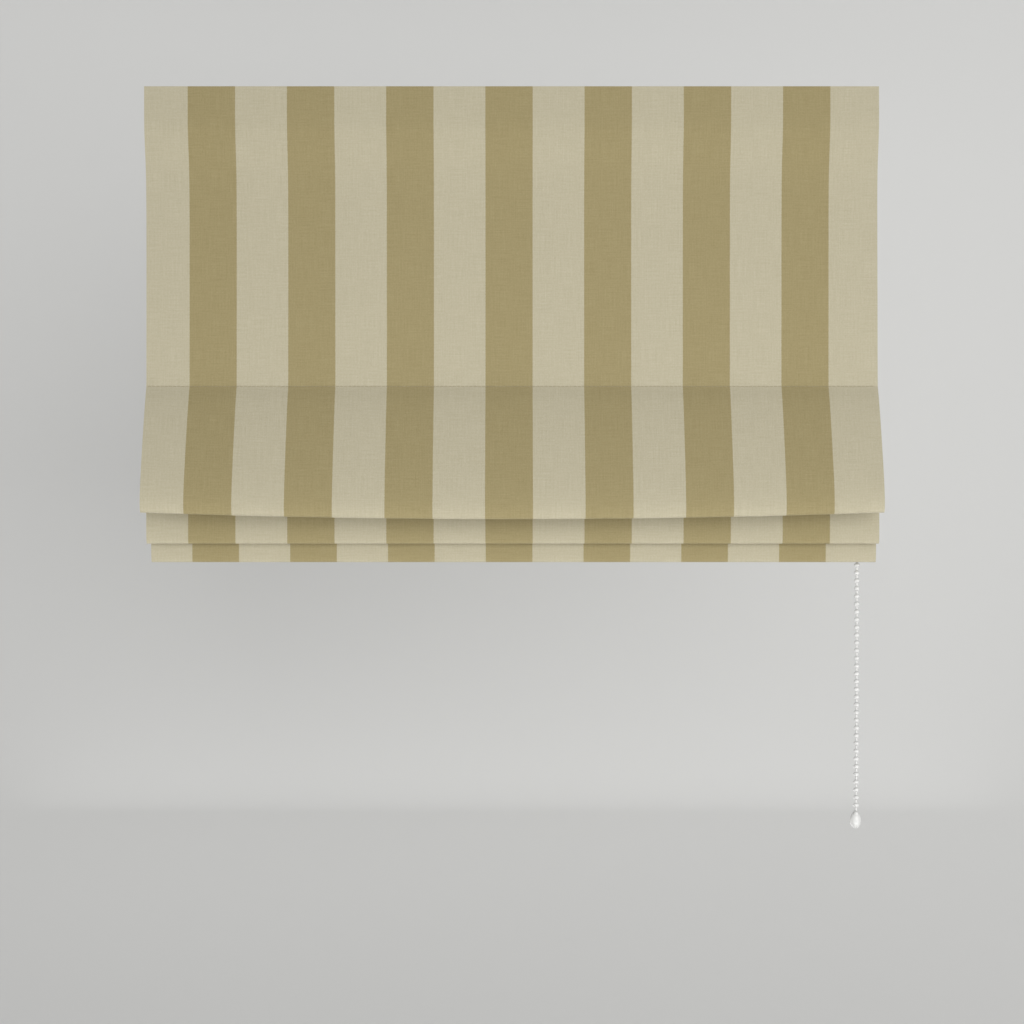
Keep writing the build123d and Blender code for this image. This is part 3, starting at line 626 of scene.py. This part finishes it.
bpy.ops.object.select_all(action="DESELECT")
bpy.ops.mesh.primitive_uv_sphere_add(segments=40, ring_count=24, radius=1, location=(0, 0, 0))
egg = bpy.context.object
egg.name = "connector_egg"
for vertex in egg.data.vertices:
    height = vertex.co.z  # from -1 at the foot to 1 at the top
    taper = 1.0 - EGG_TAPER * max(0.0, height)
    groove = GROOVE_SHARE if abs(vertex.co.y) < 0.02 and abs(height) < 0.99 else 1.0
    vertex.co.x *= EGG_RADIUS * taper * groove
    vertex.co.y *= EGG_RADIUS * taper
    squarer = math.copysign(abs(height) ** EGG_SQUARENESS, height)
    vertex.co.z = squarer * EGG_HEIGHT / 2
for side in (-1, 1):
    bpy.ops.mesh.primitive_cone_add(
        vertices=20,
        radius1=COLLAR_FOOT,
        radius2=COLLAR_MOUTH,
        depth=COLLAR_LENGTH,
        location=(0, side * ENTRY_HALF, EGG_HEIGHT * COLLAR_HEIGHT),
    )
    collar = bpy.context.object
    rounded = collar.modifiers.new("rounded", "BEVEL")
    rounded.width = COLLAR_ROUNDING
    rounded.segments = 2
    bpy.ops.object.modifier_apply(modifier=rounded.name)
    collar.data.transform(collar.matrix_world)
    collar.matrix_world.identity()
    egg.select_set(True)
    bpy.context.view_layer.objects.active = egg
    bpy.ops.object.join()
    egg = bpy.context.object
for vertex in egg.data.vertices:
    vertex.co += Vector((WHEEL_X, SHAFT_BACK, STRAND_END - EGG_HEIGHT / 2))
egg.data.materials.clear()
egg.data.materials.append(bead_white)
bpy.ops.object.shade_smooth_by_angle(angle=math.radians(40))
bpy.ops.object.select_all(action="DESELECT")
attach(egg, "root")
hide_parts("chain_connector")
print("connector of", len(egg.data.polygons), "faces")

# %% Both strands
WHEEL_RADIUS = 7.639 * MM  # to the middle of the beads
STRAND_TOP = -22.25 * MM
STRAND_BEND = -480 * MM
STRAND_BEND_IN = 1.6 * MM
LEAN_DROP = -150 * MM  # from here down the loop hangs slightly turned on itself
BACK_LEAN = 2.1 * MM  # to the right, of the back strand
BACK_LATE = 0.8 * MM  # its beads sit lower by this

for side, name, lean, late in ((-1, "chain_front", 0.0, 0.0), (1, "chain_back", BACK_LEAN, BACK_LATE)):
    route = [
        (WHEEL_X, SHAFT_BACK + side * WHEEL_RADIUS, STRAND_TOP),
        (WHEEL_X + lean, SHAFT_BACK + side * (WHEEL_RADIUS - STRAND_BEND_IN / 3), LEAN_DROP),
        (WHEEL_X + lean, SHAFT_BACK + side * (WHEEL_RADIUS - STRAND_BEND_IN), STRAND_BEND),
        (WHEEL_X + lean / 3, SHAFT_BACK + side * ENTRY_HALF, STRAND_END),
    ]
    line = read_route(name, route)
    length = float(np.linalg.norm(np.diff(line, axis=0), axis=1).sum())
    count = int((length - BEAD_RADIUS) / BEAD_PITCH) + 1
    places = [along(line, BEAD_RADIUS + late + index * BEAD_PITCH) for index in range(count)]
    strand = new_object(f"beads_{name}", repeat_mesh(name, bead_mesh, places), bead_white)
    strand.data.shade_smooth()
    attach(strand, "root")
    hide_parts(name)
    print(name, "is", round(length * 1000), "mm long with", count, "beads")

# %% [markdown]
# ## The cloth's shape
# A hanging cloth keeps one outline all the way across, so each stretch is drawn as a side view: a few
# points, joined by a smooth line, and carried across the width in narrow columns. The folds stand off
# the rods, and the upper one sags a little in the middle, because only its ends are stiffened by the
# side hems. Slow waves in the top panel, a fraction of a millimetre deep, keep the light on it uneven.
#
# When the blind moves, the cloth between two rods opens or closes. So each fold is two sheets that meet
# at its lowest line: one in front and one behind. The sheets are cut at the rods too.

# %% Side views of the cloth's face, from top to hem, in millimetres (back, up)
head_panel = [(-22.3, -1), (-22.3, -12), (-22.25, -24), (-21.75, -33.5), (-20.4, -40)]
top_panel = [
    (-20.4, -40), (-19.05, -46.5), (-16.4, -57), (-14.3, -72), (-13.2, -95), (-12.9, -125),
    (-12.9, -170), (-12.9, -205), (-12.95, -220), (-13.2, -229.2),
]
upper_front = [
    (-13.2, -229.2), (-14.4, -231.8), (-18.0, -239), (-23.4, -252), (-29.0, -267), (-34.2, -282),
    (-39.0, -297), (-42.4, -310), (-43.7, -319), (-43.0, -325), (-41.0, -327.2), (-38.9, -325.6),
    (-37.9, -321.5),
]
upper_back = [
    (-37.9, -321.5), (-34.8, -309), (-29.8, -291), (-24.8, -273), (-21.4, -263.5), (-18.9, -259.4),
    (-16.0, -258),
]
lower_front = [
    (-16.0, -258), (-13.7, -258.6), (-13.0, -260.5), (-14.3, -263.2), (-17.2, -266.6), (-18.9, -272.5),
    (-19.6, -297), (-20.2, -330), (-20.2, -345), (-19.6, -348.7), (-18.2, -349.8), (-16.8, -348.7),
    (-16.2, -345),
]
lower_back = [(-16.2, -345), (-15.8, -315), (-15.1, -285), (-14.7, -272.5), (-14.5, -270), (-13.8, -269)]
hem_flap = [
    (-13.8, -269), (-13.1, -269.8), (-12.9, -273), (-12.9, -300), (-13.0, -340), (-12.9, -361.4),
    (-12.2, -363.6), (-10.6, -364.1), (-9.0, -364.1), (-7.3, -363.6), (-6.6, -361.4), (-6.6, -334),
]
SEAM_DROP, CREST_DROP, LOW_CREST_DROP = 229.2, 258.0, 269.0
UPPER_DROP, LOWER_DROP = 327.2, 349.8


# %% Draw a smooth line through a few points
def smooth_line(points, longest=3.0):
    """Points of a rounded line through the given ones, in metres: a Catmull-Rom line, spaced closely."""
    given = np.array(points, float)
    padded = np.vstack([2 * given[0] - given[1], given, 2 * given[-1] - given[-2]])
    line = []
    for index in range(len(given) - 1):
        before, start, end, after = padded[index : index + 4]
        knots = [0.0]
        for a, b in ((before, start), (start, end), (end, after)):
            knots.append(knots[-1] + np.linalg.norm(b - a) ** 0.5)
        count = max(3, math.ceil(np.linalg.norm(end - start) / longest))
        for t in np.linspace(knots[1], knots[2], count, endpoint=False):
            a1 = ((knots[1] - t) * before + t * start - knots[0] * start) / (knots[1] - knots[0])
            a2 = ((knots[2] - t) * start + (t - knots[1]) * end) / (knots[2] - knots[1])
            a3 = ((knots[3] - t) * end + (t - knots[2]) * after) / (knots[3] - knots[2])
            b1 = ((knots[2] - t) * a1 + (t - knots[0]) * a2) / (knots[2] - knots[0])
            b2 = ((knots[3] - t) * a2 + (t - knots[1]) * a3) / (knots[3] - knots[1])
            line.append(((knots[2] - t) * b1 + (t - knots[1]) * b2) / (knots[2] - knots[1]))
    line.append(given[-1])
    return np.array(line) * MM


def beside(line, gap):
    """The line moved towards the lining side by a gap."""
    runs = np.gradient(line, axis=0)
    runs /= np.linalg.norm(runs, axis=1)[:, None]
    return line + gap * np.stack([-runs[:, 1], runs[:, 0]], axis=1)


# %% Carry a side view across the width
COLUMNS = 141
DRAWN_IN = 0.9913  # width of the sewn hem, as a share of the flat cloth
CLOTH_GAUGE = 0.6 * MM
LINING_GAUGE = 0.35 * MM
LINING_GAP = 1.0 * MM
SAG = 3.8 * MM  # of the upper fold's lowest line, in the middle
SAG_LIFT = 0.3  # how far its ends rise, as a share of the sag
RIPPLE = 0.5 * MM
TAPED_DROP, FADE_IN = 50 * MM, 50 * MM  # the waves start below the tape
STILL_DROP, FADE_OUT = 200 * MM, 40 * MM  # and end above the upper rod, which keeps the panel flat


def fold_share(z):
    """How far down the upper fold a height lies, from 0 at the seam to 1 at its lowest line."""
    share = np.clip((-z - SEAM_DROP * MM) / ((UPPER_DROP - SEAM_DROP) * MM), 0, 1)
    return share * share * (3 - 2 * share)


def ripple(x, z):
    """Slow waves in the top panel, nothing along its tape and where the rod below holds it."""
    hung = np.clip((-z - TAPED_DROP) / FADE_IN, 0, 1)
    held = np.clip((-z - STILL_DROP) / FADE_OUT + 1, 0, 1)
    waves = np.sin(21 * x + 3 * z + 0.6) + 0.5 * np.sin(47 * x - 9 * z + 2.1) + 0.3 * np.sin(83 * x + 1.3)
    return RIPPLE * hung * (1 - held) * waves


def cloth_sheet(name, line, left, right, drawn_in, sag, gauge, material):
    """A sheet that follows a side view. Edges and drawn_in, its width share, run between two values."""
    rows = len(line)
    down = np.linspace(0, 1, rows)[:, None]
    left_edge = left[0] + (left[1] - left[0]) * down
    right_edge = right[0] + (right[1] - right[0]) * down
    across = np.linspace(-1, 1, COLUMNS)[None, :]
    x = (right_edge + left_edge) / 2 + across * (right_edge - left_edge) / 2
    z = np.repeat(line[:, 1:2], COLUMNS, axis=1)
    y = np.repeat(line[:, 0:1], COLUMNS, axis=1) + ripple(x, z)
    z = z + sag * fold_share(z) * (across**2 * (1 + SAG_LIFT) - 1.0)
    corners = np.stack([x, y, z], axis=2).reshape(-1, 3)
    faces = []
    for row in range(rows - 1):
        for column in range(COLUMNS - 1):
            first = row * COLUMNS + column
            faces.append((first, first + COLUMNS, first + COLUMNS + 1, first + 1))
    mesh = bpy.data.meshes.new(name)
    mesh.from_pydata(corners.tolist(), [], faces)
    runs = np.concatenate([[0], np.cumsum(np.linalg.norm(np.diff(line, axis=0), axis=1))])
    flat_x = x / (drawn_in[0] + (drawn_in[1] - drawn_in[0]) * down)
    flat_map = mesh.uv_layers.new(name="flat_cloth")
    for loop in mesh.loops:
        row, column = divmod(loop.vertex_index, COLUMNS)
        flat_map.uv[loop.index].vector = (flat_x[row, column], -runs[row])
    piece = new_object(name, mesh, material)
    bpy.context.view_layer.objects.active = piece
    piece.select_set(True)
    thickness = piece.modifiers.new("thickness", "SOLIDIFY")
    thickness.thickness = gauge
    thickness.offset = -1.0
    thickness.use_even_offset = True
    bpy.ops.object.modifier_apply(modifier=thickness.name)
    piece.data.shade_smooth()
    piece.data.set_sharp_from_angle(angle=math.radians(75))  # only along the cut rims
    piece.select_set(False)
    return piece, float(runs[-1])


# %% [markdown]
# Each stretch of face cloth has a matching stretch of lining just behind it, a little narrower. The
# stitching draws the cloth in towards the hem, more on the left than on the right.

# %% Hang the face cloth and the lining
LINING_INSET = 3.0 * MM
LINING_START = -2.5 * MM  # just under the top edge
LINING_END = -335.0 * MM  # above the hem bar, on the flap's front layer
FLAP_FRONT = -12.0 * MM
stretches = [
    # name, side view, then at its start and its end: left edge, right edge and width share; last, sag
    ("head_panel", head_panel, (-280.0, -280.0), (280.3, 280.4), (1, 1), 0.0),
    ("top_panel", top_panel, (-280.0, -279.9), (280.4, 281.0), (1, 1), 0.0),
    ("upper_fold_front", upper_front, (-279.9, -279.4), (281.0, 280.9), (1, 1), SAG),
    ("upper_fold_back", upper_back, (-279.4, -279.6), (280.9, 281.2), (1, 1), SAG),
    ("lower_fold_front", lower_front, (-279.6, -278.4), (281.2, 280.8), (1, 1), 0.0),
    ("lower_fold_back", lower_back, (-278.4, -277.4), (280.8, 280.2), (1, DRAWN_IN), 0.0),
    ("hem_flap", hem_flap, (-277.4, -275.2), (280.2, 279.2), (DRAWN_IN, DRAWN_IN), 0.0),
]


def follow(piece, name):
    """Attach a stretch of cloth to the rail or to the rod it hangs from. A fold's front sheet is only fixed
    where it lies.
    """
    if name == "head_panel":
        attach(piece, "root")
    elif name == "top_panel":
        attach(piece, "root")
        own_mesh(piece)
    elif name == "upper_fold_front":
        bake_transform(piece)
    elif name == "upper_fold_back":
        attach(piece, "middle_rod")
        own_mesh(piece)
    elif name == "lower_fold_front":
        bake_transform(piece)
    elif name == "lower_fold_back":
        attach(piece, "lower_rod")
        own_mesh(piece)
    else:
        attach(piece, "lower_rod")


for name, side_view, left_edge, right_edge, drawn_in, sag in stretches:
    line = smooth_line(side_view)
    left, right = np.array(left_edge) * MM, np.array(right_edge) * MM
    width = float((right - left).mean())
    face, length = cloth_sheet(
        f"cloth_{name}", line, left, right, drawn_in, sag, CLOTH_GAUGE, striped_cloth
    )
    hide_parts("face_fabric")
    follow(face, name)
    print("cloth", name, "is cut", round(width * 1000), "by", round(length * 1000), "mm")

    if name == "hem_flap":
        line = line[line[:, 0] < FLAP_FRONT]
        line = line[line[:, 1] > LINING_END]
    if name == "head_panel":
        line = line[line[:, 1] < LINING_START]
    behind = beside(line, LINING_GAP)
    left, right, width = left + LINING_INSET, right - LINING_INSET, width - 2 * LINING_INSET
    lining, length = cloth_sheet(
        f"lining_{name}", behind, left, right, drawn_in, sag, LINING_GAUGE, lining_cloth
    )
    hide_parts("lining")
    follow(lining, name)
    print("lining", name, "is cut", round(width * 1000), "by", round(length * 1000), "mm")

# %% [markdown]
# ## Rod pockets
# Each rod slides in a pocket of lining cloth that is folded round it and sewn. The pocket is a flat oval
# tube: a cylinder with open ends, whose upper and lower halves are moved apart.

# %% Sew the pockets
POCKET_GAUGE = 0.28 * MM

for number in NUMBERS:
    low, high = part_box(f"rod_pocket_{number}")
    middle_y, middle_z = (low.y + high.y) / 2, (low.z + high.z) / 2
    half_y, half_z = (high.y - low.y) / 2, (high.z - low.z) / 2
    bpy.ops.mesh.primitive_cylinder_add(
        vertices=28, radius=half_y, depth=high.x - low.x, end_fill_type="NOTHING", location=(0, 0, 0)
    )
    sleeve = bpy.context.object
    sleeve.name = f"pocket_sleeve_{number}"
    bpy.ops.object.mode_set(mode="EDIT")
    bpy.ops.mesh.select_all(action="SELECT")
    bpy.ops.mesh.subdivide(number_cuts=1)
    bpy.ops.object.mode_set(mode="OBJECT")
    straight = half_z - half_y
    for vertex in sleeve.data.vertices:
        along_x, around_y, around_z = vertex.co.z, vertex.co.y, vertex.co.x
        vertex.co.x = along_x
        vertex.co.y = middle_y + around_y
        vertex.co.z = middle_z + around_z + math.copysign(straight, around_z)
    thickness = sleeve.modifiers.new("thickness", "SOLIDIFY")
    thickness.thickness = POCKET_GAUGE
    thickness.offset = -1.0
    bpy.ops.object.mode_set(mode="EDIT")
    bpy.ops.mesh.select_all(action="SELECT")
    bpy.ops.mesh.normals_make_consistent(inside=False)
    bpy.ops.object.mode_set(mode="OBJECT")
    bpy.ops.object.modifier_apply(modifier=thickness.name)
    bpy.ops.object.shade_smooth_by_angle(angle=math.radians(50))
    sleeve.data.materials.append(pocket_cloth)
    sleeve.select_set(False)
    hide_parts(f"rod_pocket_{number}")
    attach(sleeve, ("upper_rod", "middle_rod", "lower_rod")[number - 1])
print("three pockets sewn")

# %% [markdown]
# ## Stitching
# The seam of the upper rod pocket shows on the face as a fine line of thread. One stitch is a small
# capsule, a cylinder with its ends drawn in, and it is copied along each seam.

# %% One stitch, copied along the seams
STITCH_PITCH = 3.2 * MM
STITCH_LENGTH = 2.5 * MM
STITCH_END = 0.375 * MM  # length of each drawn-in end
STITCH_RADIUS = 0.16 * MM
STITCH_TIP = 0.4  # width of its tips, as a share


def make_stitch():
    """One stitch along X: a cylinder whose ends are pushed out and drawn in."""
    bpy.ops.mesh.primitive_cylinder_add(
        vertices=6,
        radius=STITCH_RADIUS,
        depth=STITCH_LENGTH - 2 * STITCH_END,
        end_fill_type="NGON",
        location=(0, 0, 0),
    )
    stitch = bpy.context.object
    bpy.ops.object.mode_set(mode="EDIT")
    for end in (-1, 1):
        bpy.ops.mesh.select_all(action="DESELECT")
        bpy.ops.object.mode_set(mode="OBJECT")
        for face in stitch.data.polygons:
            face.select = face.normal.z * end > 0.9
        bpy.ops.object.mode_set(mode="EDIT")
        push_out = {"value": (0, 0, end * STITCH_END)}
        bpy.ops.mesh.extrude_region_move(TRANSFORM_OT_translate=push_out)
        bpy.ops.transform.resize(value=(STITCH_TIP, STITCH_TIP, 1))
    bpy.ops.object.mode_set(mode="OBJECT")
    mesh = stitch.data
    for vertex in mesh.vertices:
        vertex.co = (vertex.co.z, vertex.co.x, vertex.co.y)
    mesh.flip_normals()
    bpy.data.objects.remove(stitch)
    return mesh


def sew(name, half_width, y, z, body, material):
    """A straight row of stitches across the cloth."""
    count = int(2 * half_width / STITCH_PITCH)
    starts = [-half_width + (index + 0.5) * STITCH_PITCH for index in range(count)]
    places = [(x, y, z) for x in starts]
    row = new_object(name, repeat_mesh(name, stitch_mesh, places), material)
    row.data.shade_smooth()
    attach(row, body)


SEAM_HALF, HEM_HALF, POCKET_HALF = 279 * MM, 276 * MM, 273 * MM  # half the length of each row
SEAM_FACE = -13.3 * MM
HEM_FLAP_BACK, HEM_STITCH_Z = -6.5 * MM, -337 * MM
POCKET_STITCH = 3.2 * MM  # below a pocket's upper edge, on its flat back

stitch_mesh = make_stitch()
sew("upper_seam_thread", SEAM_HALF, SEAM_FACE, -SEAM_DROP * MM, "upper_rod", thread)
sew("hem_thread_back", HEM_HALF, HEM_FLAP_BACK, HEM_STITCH_Z, "lower_rod", thread)
for number, body in zip(NUMBERS, ("upper_rod", "middle_rod", "lower_rod")):
    low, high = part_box(f"rod_pocket_{number}")
    sew(f"pocket_thread_{number}", POCKET_HALF, high.y, high.z - POCKET_STITCH, body, white_thread)
print("a stitch has", len(stitch_mesh.polygons), "faces")

# %% [markdown]
# ## Lift cords
# Each cord runs from its spool down through the rings to the adjuster under the lowest one. It is
# braided, so its surface is a row of small diamonds. It is made in three lengths, cut at the rings. The
# upper length hangs from the rail, and the two below stay where they are drawn.

# %% Braid the cords
CORD_RADIUS = 0.6 * MM
BRAID_PITCH = 2.6 * MM
AROUND = 12
SWELL = 0.06  # where strands cross, as a share of the radius
UPPER_ROWS, MIDDLE_ROWS, LOWER_ROWS = 400, 64, 34  # in each length of cord


def braided_cord(name, x, y, top, bottom, rows):
    """A braided cord from top to bottom: a tube whose radius swells where strands cross."""
    heights = np.linspace(top, bottom, rows)
    corners, faces = [], []
    for row, z in enumerate(heights):
        for side in range(AROUND):
            angle = 2 * math.pi * side / AROUND
            turn = 2 * math.pi * z / BRAID_PITCH
            swell = SWELL * (math.cos(4 * angle + turn) + math.cos(4 * angle - turn))
            radius = CORD_RADIUS * (1 + swell)
            corners.append((x + radius * math.cos(angle), y + radius * math.sin(angle), z))
    for row in range(rows - 1):
        for side in range(AROUND):
            first, second = row * AROUND + side, row * AROUND + (side + 1) % AROUND
            faces.append((first, first + AROUND, second + AROUND, second))
    faces.append(tuple(range((rows - 1) * AROUND, rows * AROUND)))
    faces.append(tuple(range(AROUND))[::-1])
    mesh = bpy.data.meshes.new(name)
    mesh.from_pydata(corners, [], faces)
    piece = new_object(name, mesh, cord_braid)
    bpy.context.view_layer.objects.active = piece
    piece.select_set(True)
    bpy.ops.object.mode_set(mode="EDIT")
    bpy.ops.mesh.select_all(action="SELECT")
    bpy.ops.mesh.normals_make_consistent(inside=False)
    bpy.ops.object.mode_set(mode="OBJECT")
    piece.data.shade_smooth()
    piece.select_set(False)
    return piece


ring_heights = []
for number in NUMBERS:
    low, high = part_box(f"cord_rings_{number}")
    ring_heights.append((low.z + high.z) / 2)
for number in NUMBERS:
    low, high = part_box(f"lift_cord_{number}")
    x, y = (low.x + high.x) / 2, (low.y + high.y) / 2
    name = f"lift_cord_{number}"
    upper = braided_cord(f"{name}_upper", x, y, high.z, ring_heights[0], UPPER_ROWS)
    middle = braided_cord(f"{name}_middle", x, y, ring_heights[0], ring_heights[1], MIDDLE_ROWS)
    lower = braided_cord(f"{name}_lower", x, y, ring_heights[1], low.z, LOWER_ROWS)
    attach(upper, "root")
    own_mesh(upper)
    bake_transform(middle)
    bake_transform(lower)
    for piece in (upper, middle, lower):
        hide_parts(name)
print("nine lengths of cord")
